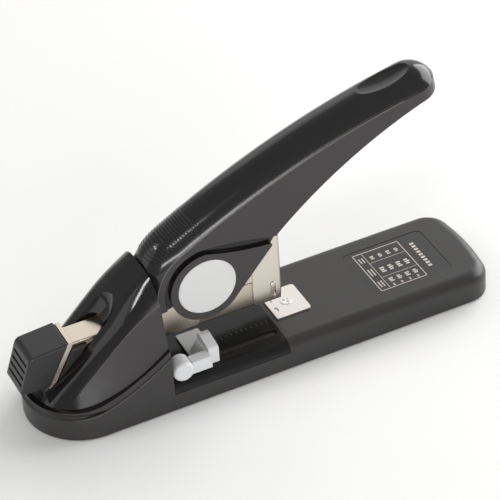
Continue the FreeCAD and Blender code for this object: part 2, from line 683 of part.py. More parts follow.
def handle_outline(inset, drop):
    """Side outline of the handle, inset from its upper edge and lowered at its open edge."""
    nose = NOSE_RADIUS - inset
    top = polar(HANDLE_PIVOT, nose, CREST_ANGLE)
    back = polar(HANDLE_PIVOT, nose, 165)
    low = polar(HANDLE_PIVOT, nose, NOSE_LOW)
    middle = (200.5, crest_at(200.5, inset))
    shoulder = tip_point(inset)
    lip = tip_point(TIP_DEPTH + drop)
    lower = (212.0, 121.6 - drop)
    root = (162.5, 85.6 - drop)
    edges = [arc(low, back, top), arc(top, middle, shoulder), line(shoulder, lip), arc(lip, lower, root)]
    if drop > 0:
        front_foot = (HANDLE_PIVOT[0] + 10, HANDLE_PIVOT[1] - 60)
        rear_foot = (low[0] - 6, HANDLE_PIVOT[1] - 60)
        return edges + [line(root, front_foot), line(front_foot, rear_foot), line(rear_foot, low)]
    corner = (158.9, 79.8)
    boss = polar(HANDLE_PIVOT, COVER_RADIUS, -46)
    bottom = polar(HANDLE_PIVOT, COVER_RADIUS, -100)
    heel = polar(HANDLE_PIVOT, COVER_RADIUS, NOSE_LOW + 4)
    edges += [line(root, corner), line(corner, boss), arc(boss, bottom, heel), line(heel, low)]
    return edges


def crown_ring(centre, radius, sagitta, half, start, sweep):
    """Crown over an edge that runs round a centre: a low arch section turned about Y."""
    cx, cz = centre
    a = V(cx + radius - 1.0, -half, cz)
    b = V(cx + radius, -half, cz)
    c = V(cx + radius + sagitta, 0, cz)
    d = V(cx + radius, half, cz)
    e = V(cx + radius - 1.0, half, cz)
    wire = Part.Wire([Part.LineSegment(a, b).toShape(), Part.Arc(b, c, d).toShape(),
                      Part.LineSegment(d, e).toShape(), Part.LineSegment(e, a).toShape()])
    wire.rotate(V(cx, 0, cz), V(0, -1, 0), start)
    return Part.Face(wire).revolve(V(cx, 0, cz), V(0, -1, 0), sweep)


def round_tip(inset, drop):
    """The handle's end: its crowned section turned half round on its own upright axis."""
    half = HANDLE_HALF - inset
    radius = (half ** 2 + CROWN ** 2) / (2 * CROWN)
    quarter = math.asin(half / radius) / 2
    mid = V(radius * math.sin(quarter), 0, CROWN - radius + radius * math.cos(quarter) - inset)
    low = -TIP_DEPTH - drop
    rim = V(half, 0, -inset)
    crown = V(0, 0, CROWN - inset)
    wire = Part.Wire([
        Part.LineSegment(V(0, 0, low), V(half, 0, low)).toShape(),
        Part.LineSegment(V(half, 0, low), rim).toShape(),
        Part.Arc(rim, mid, crown).toShape(),
        Part.LineSegment(crown, V(0, 0, low)).toShape(),
    ])
    wire.rotate(V(0, 0, 0), V(0, 0, 1), -90)
    tip = Part.Face(wire).revolve(V(0, 0, 0), V(0, 0, 1), 180)
    tip.rotate(V(0, 0, 0), V(0, 1, 0), crest_slope(TIP_START))
    tip.translate(V(TIP_START, 0, crest_at(TIP_START)))
    return tip


def handle_solid(inset, drop):
    """The handle's full solid, or the hollow inside it when inset."""
    half = HANDLE_HALF - inset
    body = edge_prism_y(handle_outline(inset, drop), -half, half)
    far = 90 - crest_slope(TIP_START)
    nose = crown_ring(HANDLE_PIVOT, NOSE_RADIUS - inset, CROWN, half, CREST_ANGLE, NOSE_LOW - CREST_ANGLE)
    long_top = crown_ring(crest_centre(), CREST_RADIUS - inset, CROWN, half, far, CREST_ANGLE - far)
    solid = body.fuse([nose, long_top, round_tip(inset, drop)])
    return solid.cut(box(0, NOSE_FLAT + inset, -40, 40, -80, 200))


def cover_outline(grow):
    """Teardrop of the side covers: the round boss and a tapered tip, grown for its pocket."""
    r = COVER_RADIUS + grow
    if grow > 0:
        start = polar(HANDLE_PIVOT, r, 92)
        swell = polar(HANDLE_PIVOT, r, 150)
        heel = polar(HANDLE_PIVOT, r, NOSE_LOW + 6)
        tip = (166.0, 84.0)
        return [
            arc(heel, swell, start),
            tear_top(start, (HANDLE_PIVOT[0] + 25, 89.4), (158.0, 85.2)),
            line((158.0, 85.2), tip),
            line(tip, (170, 30)),
            line((170, 30), (heel[0], 30)),
            line((heel[0], 30), heel),
        ]
    start = polar(HANDLE_PIVOT, r, 88)
    left = polar(HANDLE_PIVOT, r, 200)
    bottom = polar(HANDLE_PIVOT, r, -46)
    tip_low = (158.4, 78.6)
    tip_high = (156.6, 80.6)
    return [
        tear_top(start, (HANDLE_PIVOT[0] + 21, 83.4), tip_high),
        arc(tip_high, (158.4, 80.0), tip_low),
        line(tip_low, bottom),
        arc(bottom, left, start),
    ]


def tear_top(start, middle, end):
    """Gentle S from the boss's top to the tip."""
    curve = Part.BSplineCurve()
    points = [V(start[0], 0, start[1]), V(middle[0], 0, middle[1]), V(end[0], 0, end[1])]
    curve.interpolate(points, False, 1e-7)
    return curve.toShape()


def handle_shell():
    solid = handle_solid(0.0, 0.0)
    shell = solid.cut(handle_solid(HANDLE_WALL, 40.0))
    shell = shell.fuse(solid.common(thumb_oval(HANDLE_WALL)))
    thick = solid.common(edge_prism_y(cover_outline(GROOVE_WIDTH + 2.0), -40, 40))
    thick = thick.cut(box(60, 200, -12.2, 12.2, 0, 200))
    shell = shell.fuse(thick)
    pocket = edge_prism_y(cover_outline(GROOVE_WIDTH), HANDLE_HALF - POCKET_DEPTH, 40)
    shell = shell.cut([pocket, mirrored(pocket)])
    shell = shell.cut(cyl_y(HANDLE_PIVOT[0], HANDLE_PIVOT[1], AXLE_RADIUS + 0.08, -40, 40))
    shell = shell.cut(thumb_oval(0.0))
    return shell.removeSplitter()


def thumb_oval(grow):
    """Oval that sinks a shallow thumb rest into the top near the tip."""
    x = 242.0
    ball = Part.makeSphere(1.0)
    matrix = FreeCAD.Matrix()
    matrix.scale(V(22.0 + grow, 12.5 + grow, 7.0 + grow))
    oval = ball.transformGeometry(matrix)
    oval.rotate(V(0, 0, 0), V(0, 1, 0), crest_slope(x))
    oval.translate(V(x, 0, crest_at(x) + CROWN + 4.2))
    return oval


def side_cover(side):
    """Teardrop cover over the pivot, in its pocket in the handle's side."""
    plate = edge_prism_y(cover_outline(0.0), HANDLE_HALF - POCKET_DEPTH, HANDLE_HALF + 0.2)
    x, z = HANDLE_PIVOT
    plate = plate.cut(cyl_y(x, z, DISC_RADIUS + 0.05, HANDLE_HALF - 1.2, 40))
    return plate if side > 0 else mirrored(plate)


def pivot_disc(side):
    """Light grey cap over the axle's end."""
    x, z = HANDLE_PIVOT
    disc = cyl_y(x, z, DISC_RADIUS, HANDLE_HALF - 1.2, HANDLE_HALF + 0.5)
    rim = pick_edges(disc, lambda x0, x1, y0, y1, z0, z1: y0 > HANDLE_HALF)
    disc = disc.makeFillet(0.6, rim)
    return disc if side > 0 else mirrored(disc)


def handle_lever():
    """Steel lever inside the handle: two arms from the axle, joined by a web past the head."""
    x, z = drive_pin_place()
    outline = [
        arc(polar(HANDLE_PIVOT, 13.0, 100), polar(HANDLE_PIVOT, 13.0, 190), polar(HANDLE_PIVOT, 13.0, 280)),
        line(polar(HANDLE_PIVOT, 13.0, 280), (x + 2.0, z - 6.2)),
        line((x + 2.0, z - 6.2), (x + 8.0, z + 2.0)),
        line((x + 8.0, z + 2.0), (212.0, 129.0)),
        line((212.0, 129.0), (208.0, 135.0)),
        line((208.0, 135.0), polar(HANDLE_PIVOT, 13.0, 100)),
    ]
    arms = [edge_prism_y(outline, LEVER_HALF - 1.5, LEVER_HALF)]
    arms.append(mirrored(arms[0]))
    web = slab_y([(178.0, 114.6), (210.0, 132.0), (209.2, 133.4), (177.2, 116.0)], -LEVER_HALF, LEVER_HALF)
    lever = fuse(arms + [web])
    lever = lever.cut(cyl_y(HANDLE_PIVOT[0], HANDLE_PIVOT[1], AXLE_RADIUS + 0.05, -40, 40))
    return lever.cut(lever_slot())


def lever_slot():
    """Slot that points at the axle, so that the drive pin can slide as the lever turns."""
    x, z = drive_pin_place()
    tilt = HANDLE_SWING / 2
    r = DRIVE_PIN + 0.15
    reach = math.hypot(x - HANDLE_PIVOT[0], z - HANDLE_PIVOT[1])
    near = HANDLE_PIVOT[0] + reach - 1.8
    far = HANDLE_PIVOT[0] + reach + 0.9
    level = HANDLE_PIVOT[1]
    slot = box(near, far, -40, 40, level - r, level + r).fuse(
        [cyl_y(near, level, r, -40, 40), cyl_y(far, level, r, -40, 40)])
    slot.rotate(V(HANDLE_PIVOT[0], 0, HANDLE_PIVOT[1]), V(0, -1, 0), tilt)
    return slot


# ---------------------------------------------------------------- drawer, pusher, staples
def drawer_cap():
    """Black pull at the rear, with grip grooves across its back."""
    outline = [(3.0, 53.4), (27.8, 55.2), (13.0, 28.0), (-5.4, 29.0)]
    cap = slab_y(outline, -12.0, 12.0, [4.5, 0.8, 0.8, 1.2])
    edges = pick_edges(cap, lambda x0, x1, y0, y1, z0, z1: y1 - y0 < 0.01 and z0 > 29 and x1 < 28)
    cap = cap.makeFillet(1.2, edges)
    for i in range(4):
        z = 33.6 + i * 4.3
        x = -4.6 + (z - 29.0) * (3.0 + 5.4) / (53.4 - 29.0)
        groove = box(x - 3.0, x + 0.6, -9.5, 9.5, z, z + 1.7)
        cap = cap.cut(groove)
    return cap


def drawer_end_plate():
    """Slanted steel plate between the cap and the magazine, hooked under at its foot."""
    outline = [(27.9, 54.4), (31.4, 54.4), (17.6, 29.4), (19.2, 26.6), (12.4, 26.4), (13.2, 27.8)]
    return slab_y(outline, -10.4, 10.4, [0.3, 0.8, 1.2, 0.6, 0.3, 0.3])


def feed_rail():
    """Folded rail that slides down the magazine and carries the staples' crowns."""
    rail = box(20.0, FEED_RAIL_END, -3.0, 3.0, RAIL_HEIGHT - 2.6, RAIL_HEIGHT + 2.6)
    rail = rail.cut(box(24.0, FEED_RAIL_END + 1, -2.0, 2.0, RAIL_HEIGHT - 3, RAIL_HEIGHT + 1.6))
    high, low = (31.35, 54.4), (17.65, 29.4)
    slope = (high[0] - low[0]) / (high[1] - low[1])
    back = slab_y([(low[0] + slope * (RAIL_HEIGHT - 4 - low[1]), RAIL_HEIGHT - 4),
                   (low[0] + slope * (RAIL_HEIGHT + 4 - low[1]), RAIL_HEIGHT + 4), (0, RAIL_HEIGHT + 4),
                   (0, RAIL_HEIGHT - 4)], -20, 20)
    return rail.cut(back)


def pusher():
    """Saddle on the feed rail that pushes the staples forward."""
    x0, x1 = PUSHER
    block = slab_x([(-6.5, 34.0), (6.5, 34.0), (6.5, 45.0), (-6.5, 45.0)], x0, x1, [0.4, 0.4, 2.0, 2.0])
    return block.cut(box(x0 - 1, x1 + 1, -3.25, 3.25, RAIL_HEIGHT - 2.85, RAIL_HEIGHT + 2.85))


def pusher_spring():
    """Sleeve of the pusher spring's size, round the feed rail."""
    start = 26.0
    outer = cyl_x(0, RAIL_HEIGHT, 5.0, start, PUSHER[0])
    return outer.cut(cyl_x(0, RAIL_HEIGHT, 4.2, start - 1, PUSHER[0] + 1))


def staple_strip():
    """A glued strip of staples, as one inverted U."""
    x0, x1 = STRIP
    outer = box(x0, x1, -6.5, 6.5, CHANNEL_BOTTOM + SHEET + 0.05, CHANNEL_BOTTOM + SHEET + STAPLE_LEG - 0.6)
    inner = box(x0 - 1, x1 + 1, -5.8, 5.8, 0, CHANNEL_BOTTOM + SHEET + STAPLE_LEG - 1.3)
    return outer.cut(inner)


# ---------------------------------------------------------------- paper stop
def paper_stop():
    """Sliding stop: a block for the paper's edge, a thin foot under the arm and a knob arm."""
    face = [(-30.0, 19.0), (-14.0, 19.0), (-14.0, 32.0), (-17.5, 32.8), (-30.0, 30.6)]
    block = slab_x(face, 106.8, 113.4, [0.6, 0.3, 1.0, 3.0, 2.0])
    heel = slab_y([(99.4, 19.0), (107.0, 19.0), (107.0, 30.2)], -27.5, -15.0, [0.3, 0.3, 0.8])
    sole = [(99.4, -27.0), (114.4, -27.0), (114.4, 2.6), (99.4, 2.6)]
    foot = slab_z(sole, 19.0, 20.5, [0.5, 0.5, 1.2, 1.2])
    side = [(92.0, 20.2), (107.0, 20.2), (107.0, 28.8), (92.0, 28.8)]
    link = slab_y(side, -34.0, -27.2, [0.5, 0.5, 0.8, 0.8])
    tongue = slab_z([(100.0, -23.8), (113.0, -23.8), (113.0, -20.2), (100.0, -20.2)], 17.8, 19.2, 1.2)
    stop = fuse([block, heel, foot, link, tongue])
    x, z = KNOB
    return stop.cut(cyl_y(x, z, KNOB_RADIUS + 0.3, -60, 0))


def stop_knob():
    """Round domed knob that locks the paper stop."""
    x, z = KNOB
    knob = cyl_y(x, z, KNOB_RADIUS, -37.6, -26.4)
    knob = knob.makeFillet(2.4, pick_edges(knob, lambda x0, x1, y0, y1, z0, z1: y1 < -37.5))
    return knob.makeFillet(0.8, pick_edges(knob, lambda x0, x1, y0, y1, z0, z1: y0 > -26.5))


PARTS = {
    "base_shell": base_shell,
    "throat_insert": throat_insert,
    "label_plate": label_plate,
    "bottom_plate": bottom_plate,
    "rubber_mat": rubber_mat,
    "bottom_screws": bottom_screws,
    "rear_housing": rear_housing,
    "arm_bracket": arm_bracket,
    "bracket_bolts": bracket_bolts,
    "arm_pivot_pins": arm_pivot_pins,
    "pin_clips": pin_clips,
    "arm_return_spring": arm_return_spring,
    "anvil_plate": anvil_plate,
    "anvil_screw": anvil_screw,
    "magazine_channel": magazine_channel,
    "magazine_cover": magazine_cover,
    "tail_sleeve": tail_sleeve,
    "side_plate_left": lambda: side_plate(1),
    "side_plate_right": lambda: side_plate(-1),
    "head_housing": head_housing,
    "head_front_plate": head_front_plate,
    "head_rivets": head_rivets,
    "handle_axle": handle_axle,
    "axle_spacer": axle_spacer,
    "handle_return_spring": handle_return_spring,
    "driver_blade": driver_blade,
    "driver_carrier": driver_carrier,
    "drive_pin": drive_pin,
    "handle_shell": handle_shell,
    "side_cover_left": lambda: side_cover(1),
    "side_cover_right": lambda: side_cover(-1),
    "pivot_disc_left": lambda: pivot_disc(1),
    "pivot_disc_right": lambda: pivot_disc(-1),
    "handle_lever": handle_lever,
    "drawer_cap": drawer_cap,
    "drawer_end_plate": drawer_end_plate,
    "feed_rail": feed_rail,
    "pusher": pusher,
    "pusher_spring": pusher_spring,
    "staple_strip": staple_strip,
    "paper_stop": paper_stop,
    "stop_knob": stop_knob,
}


def place(shape):
    """Moves a piece from base stations to the row frame: origin under the base's centre."""
    moved = shape.copy()
    moved.translate(V(-BASE_LENGTH / 2, 0, MAT_DROP))
    return moved


os.makedirs("parts", exist_ok=True)
for name, make in PARTS.items():
    shape = place(make())
    if not shape.isValid() or shape.Volume <= 0:
        print("CHECK", name, "valid", shape.isValid(), "volume", shape.Volume)
    print(name, len(shape.Solids), "solids", round(shape.Volume / 1000, 2), "cm3")
    shape.exportStep("parts/" + name + ".step")
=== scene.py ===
"""Looks of a long reach stapler: materials, fine surface detail, floor, lights and camera."""

import bmesh
import bpy
import math
from mathutils import Matrix, Vector

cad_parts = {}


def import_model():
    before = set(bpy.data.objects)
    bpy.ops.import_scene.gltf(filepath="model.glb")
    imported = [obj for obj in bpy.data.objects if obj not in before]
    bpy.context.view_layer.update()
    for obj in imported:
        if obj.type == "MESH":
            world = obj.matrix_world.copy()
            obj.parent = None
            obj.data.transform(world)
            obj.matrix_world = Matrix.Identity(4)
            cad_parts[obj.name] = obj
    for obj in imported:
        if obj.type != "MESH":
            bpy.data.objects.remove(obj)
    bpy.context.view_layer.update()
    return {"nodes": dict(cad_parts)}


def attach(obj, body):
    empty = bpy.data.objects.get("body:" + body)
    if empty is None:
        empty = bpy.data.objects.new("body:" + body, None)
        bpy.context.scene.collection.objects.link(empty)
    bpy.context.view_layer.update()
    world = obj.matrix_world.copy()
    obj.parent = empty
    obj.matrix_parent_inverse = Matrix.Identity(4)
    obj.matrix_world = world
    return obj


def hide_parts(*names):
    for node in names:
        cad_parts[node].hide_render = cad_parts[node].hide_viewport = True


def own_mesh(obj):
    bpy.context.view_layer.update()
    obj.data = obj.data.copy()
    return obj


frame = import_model()
CAD = frame["nodes"]
scene = bpy.context.scene
MM = 0.001


def row(x, y, z):
    """Row frame point in metres from a base station, Y and height above the shell's underside, in mm."""
    return Vector(((x - 150.0) * MM, y * MM, (z + 1.0) * MM))


# ------------------------------------------------------------------ materials
MOTTLE_SCALE = 40.0
GRAIN_DEPTH = 0.0002


def side_mask(nodes, links, low, high):
    """1 on faces that look sideways along Y, 0 on the rest."""
    geometry = nodes.new("ShaderNodeNewGeometry")
    split = nodes.new("ShaderNodeSeparateXYZ")
    links.new(geometry.outputs["Normal"], split.inputs["Vector"])
    size = nodes.new("ShaderNodeMath")
    size.operation = "ABSOLUTE"
    links.new(split.outputs["Y"], size.inputs[0])
    ramp = nodes.new("ShaderNodeMapRange")
    ramp.interpolation_type = "SMOOTHSTEP"
    ramp.inputs["From Min"].default_value = low
    ramp.inputs["From Max"].default_value = high
    links.new(size.outputs["Value"], ramp.inputs["Value"])
    return ramp.outputs["Result"]


def material(name, color, rough, metal=0.0, grain=0.0, grain_scale=900.0, mottle=0.0, spec=0.5,
             stretch=(1.0, 1.0, 1.0), rough_mottle=0.0, satin=None):
    """A procedural surface: base colour with faint mottling, roughness variation and fine grain.

    satin is (colour, roughness, low, high) for faces that look sideways: side_mask blends it in."""
    mat = bpy.data.materials.new(name)
    mat.use_nodes = True
    tree = mat.node_tree
    nodes, links = tree.nodes, tree.links
    shader = nodes["Principled BSDF"]
    shader.inputs["Metallic"].default_value = metal
    shader.inputs["Specular IOR Level"].default_value = spec
    coords = nodes.new("ShaderNodeTexCoord")
    mapping = nodes.new("ShaderNodeMapping")
    mapping.inputs["Scale"].default_value = stretch
    links.new(coords.outputs["Object"], mapping.inputs["Vector"])
    cloud = nodes.new("ShaderNodeTexNoise")
    cloud.inputs["Scale"].default_value = MOTTLE_SCALE
    cloud.inputs["Detail"].default_value = 4.0
    links.new(mapping.outputs["Vector"], cloud.inputs["Vector"])
    mix = nodes.new("ShaderNodeMix")
    mix.data_type = "RGBA"
    mix.inputs["A"].default_value = tuple(c * (1 - mottle) for c in color) + (1.0,)
    mix.inputs["B"].default_value = tuple(min(1.0, c * (1 + mottle)) for c in color) + (1.0,)
    links.new(cloud.outputs["Fac"], mix.inputs["Factor"])
    surface = mix.outputs["Result"]
    if satin:
        satin_color, satin_rough, low, high = satin
        side = side_mask(nodes, links, low, high)
        tint = nodes.new("ShaderNodeMix")
        tint.data_type = "RGBA"
        tint.inputs["B"].default_value = satin_color + (1.0,)
        links.new(side, tint.inputs["Factor"])
        links.new(surface, tint.inputs["A"])
        surface = tint.outputs["Result"]
    links.new(surface, shader.inputs["Base Color"])
    spread = nodes.new("ShaderNodeMapRange")
    spread.inputs["To Min"].default_value = max(0.02, rough - rough_mottle)
    spread.inputs["To Max"].default_value = min(1.0, rough + rough_mottle)
    links.new(cloud.outputs["Fac"], spread.inputs["Value"])
    finish = spread.outputs["Result"]
    if satin:
        dull = nodes.new("ShaderNodeMix")
        dull.inputs["B"].default_value = satin_rough
        links.new(side, dull.inputs["Factor"])
        links.new(finish, dull.inputs["A"])
        finish = dull.outputs["Result"]
    links.new(finish, shader.inputs["Roughness"])
    if grain > 0:
        noise = nodes.new("ShaderNodeTexNoise")
        noise.inputs["Scale"].default_value = grain_scale
        noise.inputs["Detail"].default_value = 2.0
        links.new(mapping.outputs["Vector"], noise.inputs["Vector"])
        bump = nodes.new("ShaderNodeBump")
        bump.inputs["Strength"].default_value = grain
        bump.inputs["Distance"].default_value = GRAIN_DEPTH
        links.new(noise.outputs["Fac"], bump.inputs["Height"])
        links.new(bump.outputs["Normal"], shader.inputs["Normal"])
    return mat


SURFACES = {
    "base_black": material("base_plastic", (0.024, 0.0225, 0.022), 0.36, grain=0.10, mottle=0.06,
                           rough_mottle=0.03),
    "handle_black": material("handle_plastic", (0.014, 0.013, 0.013), 0.16, mottle=0.05, rough_mottle=0.02,
                             satin=((0.030, 0.027, 0.027), 0.42, 0.86, 0.97)),
    "cap_black": material("cap_plastic", (0.020, 0.019, 0.019), 0.38, grain=0.10, mottle=0.06,
                          rough_mottle=0.03),
    "gloss_black": material("gloss_plastic", (0.011, 0.010, 0.010), 0.09, mottle=0.04, rough_mottle=0.02,
                            satin=((0.027, 0.024, 0.024), 0.40, 0.66, 0.84)),
    "insert_black": material("insert_plastic", (0.010, 0.010, 0.010), 0.22, mottle=0.04, spec=0.25,
                             rough_mottle=0.02),
    "label_black": material("label_plastic", (0.020, 0.019, 0.019), 0.32, mottle=0.04, rough_mottle=0.02),
    "mat_rubber": material("mat_rubber", (0.016, 0.016, 0.016), 0.75, grain=0.5, mottle=0.10,
                           rough_mottle=0.05),
    "plated_steel": material("plated_steel", (0.67, 0.60, 0.50), 0.26, metal=1.0, grain=0.05, mottle=0.04,
                             stretch=(0.15, 1.0, 1.0), grain_scale=1600.0, rough_mottle=0.05),
    "bright_steel": material("bright_steel", (0.70, 0.65, 0.57), 0.20, metal=1.0, grain=0.04, mottle=0.03,
                             stretch=(1.0, 1.0, 0.15), grain_scale=1600.0, rough_mottle=0.04),
    "spring_steel": material("spring_steel", (0.42, 0.41, 0.40), 0.28, metal=1.0, mottle=0.05,
                             rough_mottle=0.05),
    "anvil_steel": material("anvil_steel", (0.74, 0.70, 0.66), 0.30, metal=0.85, grain=0.06, mottle=0.03,
                            rough_mottle=0.05),
    "nickel_steel": material("nickel_steel", (0.70, 0.68, 0.64), 0.22, metal=1.0, mottle=0.04,
                             rough_mottle=0.05),
    "tool_steel": material("tool_steel", (0.30, 0.29, 0.28), 0.32, metal=1.0, mottle=0.06,
                           rough_mottle=0.05),
    "staple_wire": material("staple_wire", (0.74, 0.73, 0.70), 0.25, metal=1.0, mottle=0.05,
                            rough_mottle=0.05),
    "pusher_plastic": material("pusher_plastic", (0.05, 0.05, 0.05), 0.45, grain=0.1, mottle=0.05,
                               rough_mottle=0.03),
    "disc_grey": material("disc_plastic", (0.67, 0.67, 0.67), 0.42, grain=0.08, mottle=0.03,
                          rough_mottle=0.03),
    "stop_white": material("stop_plastic", (0.66, 0.67, 0.68), 0.35, grain=0.06, mottle=0.03,
                           rough_mottle=0.03),
}
PRINT = material("label_ink", (0.60, 0.57, 0.53), 0.55, mottle=0.05)
# Near-black lining for the groove round the side covers: painted shade in the recess.
GROOVE_SHADE = material("groove_painted_shade", (0.008, 0.008, 0.008), 0.14, mottle=0.05, spec=0.35)
# Light grey for the handle's edge bead: a painted highlight along the crease.
EDGE_HIGHLIGHT = material("painted_highlight_edge", (0.16, 0.155, 0.15), 0.22, mottle=0.05)
TICK = material("moulded_tick", (0.030, 0.029, 0.028), 0.45, mottle=0.05)
# Darkened steel for parts deep in the tail opening: painted shade.
SHADE_STEEL = material("painted_shade_steel", (0.05, 0.048, 0.045), 0.35, metal=0.6, mottle=0.08, rough_mottle=0.05)


def dress(obj, slot):
    """Gives obj its slot's surface."""
    obj.data.materials.clear()
    obj.data.materials.append(SURFACES[slot])


SLOTS = {
    "base_black": ["base_shell", "bottom_plate"],
    "handle_black": ["handle_shell", "side_cover_left", "side_cover_right"],
    "cap_black": ["drawer_cap", "tail_sleeve"],
    "gloss_black": ["rear_housing"],
    "insert_black": ["throat_insert"],
    "label_black": ["label_plate"],
    "mat_rubber": ["rubber_mat"],
    "plated_steel": ["magazine_channel", "magazine_cover", "side_plate_left", "side_plate_right",
                     "drawer_end_plate", "arm_bracket", "handle_lever", "feed_rail"],
    "bright_steel": ["head_housing", "head_front_plate"],
    "spring_steel": ["arm_return_spring", "handle_return_spring", "pusher_spring", "pin_clips"],
    "anvil_steel": ["anvil_plate"],
    "nickel_steel": ["anvil_screw", "bracket_bolts", "bottom_screws", "arm_pivot_pins", "drive_pin",
                     "head_rivets", "handle_axle", "axle_spacer"],
    "tool_steel": ["driver_blade", "driver_carrier"],
    "staple_wire": ["staple_strip"],
    "pusher_plastic": ["pusher"],
    "disc_grey": ["pivot_disc_left", "pivot_disc_right"],
    "stop_white": ["paper_stop", "stop_knob"],
}
for slot, names in SLOTS.items():
    for name in names:
        dress(CAD[name], slot)
# These three sit inside the dark tail opening and get darkened steel, painted shade, where bright metal
# would show as specks.
for name in ("arm_bracket", "arm_pivot_pins", "pin_clips"):
    CAD[name].data.materials[0] = SHADE_STEEL


# ------------------------------------------------------------------ mesh helpers
def mesh_piece(name, verts, faces, slot, body, smooth=True):
    """A new closed piece with its faces turned outward, riding on body."""
    mesh = bpy.data.meshes.new(name)
    mesh.from_pydata([tuple(v) for v in verts], [], faces)
    mesh.validate()
    build = bmesh.new()
    build.from_mesh(mesh)
    bmesh.ops.recalc_face_normals(build, faces=build.faces)
    build.to_mesh(mesh)
    build.free()
    if smooth:
        mesh.polygons.foreach_set("use_smooth", [True] * len(mesh.polygons))
    obj = bpy.data.objects.new(name, mesh)
    scene.collection.objects.link(obj)
    dress(obj, slot)
    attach(obj, body)
    return obj


def tube_mesh(points, radius, sides, verts, faces):
    """Adds a round wire along points to verts and faces."""
    start = len(verts)
    count = len(points)
    side_way = None
    for i, point in enumerate(points):
        along = (points[min(i + 1, count - 1)] - points[max(i - 1, 0)]).normalized()
        if side_way is None:
            side_way = along.orthogonal().normalized()
        side_way = (side_way - along * side_way.dot(along)).normalized()
        other = along.cross(side_way)
        for k in range(sides):
            turn = 2 * math.pi * k / sides
            verts.append(point + (side_way * math.cos(turn) + other * math.sin(turn)) * radius)
    for i in range(count - 1):
        for k in range(sides):
            a = start + i * sides + k
            b = start + i * sides + (k + 1) % sides
            faces.append((a, b, b + sides, a + sides))
    faces.append(tuple(start + k for k in reversed(range(sides))))
    faces.append(tuple(start + (count - 1) * sides + k for k in range(sides)))


def wire_piece(name, lines, radius, sides, slot, body):
    """One piece made of round wires, each along a list of points."""
    verts, faces = [], []
    for points in lines:
        tube_mesh(points, radius, sides, verts, faces)
    return mesh_piece(name, verts, faces, slot, body)


# ------------------------------------------------------------------ springs
CLOSED_TURNS = 0.6


def helix(centre, axis, radius, length, turns, steps=28):
    """Centreline of a coil spring from centre along axis, with closed end coils."""
    axis = Vector(axis).normalized()
    one = axis.orthogonal().normalized()
    two = axis.cross(one)
    total = int(turns * steps)
    points = []
    for i in range(total + 1):
        share = i / total
        climb = min(max((share * turns - CLOSED_TURNS) / (turns - 2 * CLOSED_TURNS), 0.0), 1.0)
        turn = 2 * math.pi * turns * share
        ring = one * math.cos(turn) + two * math.sin(turn)
        points.append(centre + axis * (climb * length) + ring * radius)
    return points


def springs():
    """Real coils in place of the CAD's sleeves."""
    wire, coil, length = 0.45 * MM, 3.7 * MM, 13.7 * MM
    low = row(75.6, 0.0, 18.5)
    line = helix(low + Vector((0, 0, wire)), (0, 0, 1), coil, length - 2 * wire, 7.5)
    lift = wire_piece("arm_spring_coil", [line], wire, 8, "spring_steel", "base")
    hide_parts("arm_return_spring")
    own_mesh(lift)
    wire, coil, length = 0.35 * MM, 4.6 * MM, 70.0 * MM
    back = row(26.0, 0.0, 38.6)
    line = helix(back + Vector((wire, 0, 0)), (1, 0, 0), coil, length - 2 * wire, 20.0, steps=22)
    push = wire_piece("pusher_coil", [line], wire, 6, "spring_steel", "drawer")
    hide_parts("pusher_spring")
    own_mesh(push)
    wire, coil, length = 0.65 * MM, 6.65 * MM, 12.2 * MM
    line = helix(row(115.3, -6.1, 65.3), (0, 1, 0), coil, length, 8.0)
    turn = wire_piece("handle_coil", [line], wire, 8, "spring_steel", "arm")
    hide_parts("handle_return_spring")


# ------------------------------------------------------------------ handle
# The handle's side profile in mm: a round nose about the pivot, which meets a long shallow arc at LEAVE.
PIVOT = (115.3, 65.3)
NOSE = 31.5
LONG_RADIUS = 528.3
LEAVE = math.radians(119.64)
LONG_CENTRE = (PIVOT[0] - (LONG_RADIUS - NOSE) * math.cos(LEAVE),
               PIVOT[1] - (LONG_RADIUS - NOSE) * math.sin(LEAVE))
# Across, the top is crowned: HALF is half its width and CROWN its rise at the middle.
HALF = 15.8
CROWN = 10.6
CROWN_RADIUS = (HALF ** 2 + CROWN ** 2) / (2 * CROWN)

RIBS, RIB_FIRST, RIB_STEP = 17, -12.0, 1.85
RIB_HALF, LAST_RIB_HALF = 12.6, 11.4
RIB_POINTS = 25
CREASE_FIRST, CREASE_STEP, CREASE_POINTS = -34.0, 2.0, 98
CREASE_SINK = 0.12
DOTS, DOT_FIRST, DOT_STEP, DOT_Y = 4, 2.5, 5.9, -13.6
DOME_RINGS, DOME_SIDES = 6, 14


def crown(y):
    """Rise of the crowned top above its two edges, at y from the middle."""
    return math.sqrt(CROWN_RADIUS ** 2 - y * y) - (CROWN_RADIUS - CROWN)


def top_point(distance, y, lift):
    """Point on the handle's top, distance along its edge from where it leaves the nose round."""
    if distance < 0:
        angle = LEAVE - distance / NOSE
        centre, radius = PIVOT, NOSE
    else:
        angle = LEAVE - distance / LONG_RADIUS
        centre, radius = LONG_CENTRE, LONG_RADIUS
    reach = radius + crown(y) + lift
    return row(centre[0] + reach * math.cos(angle), y, centre[1] + reach * math.sin(angle))


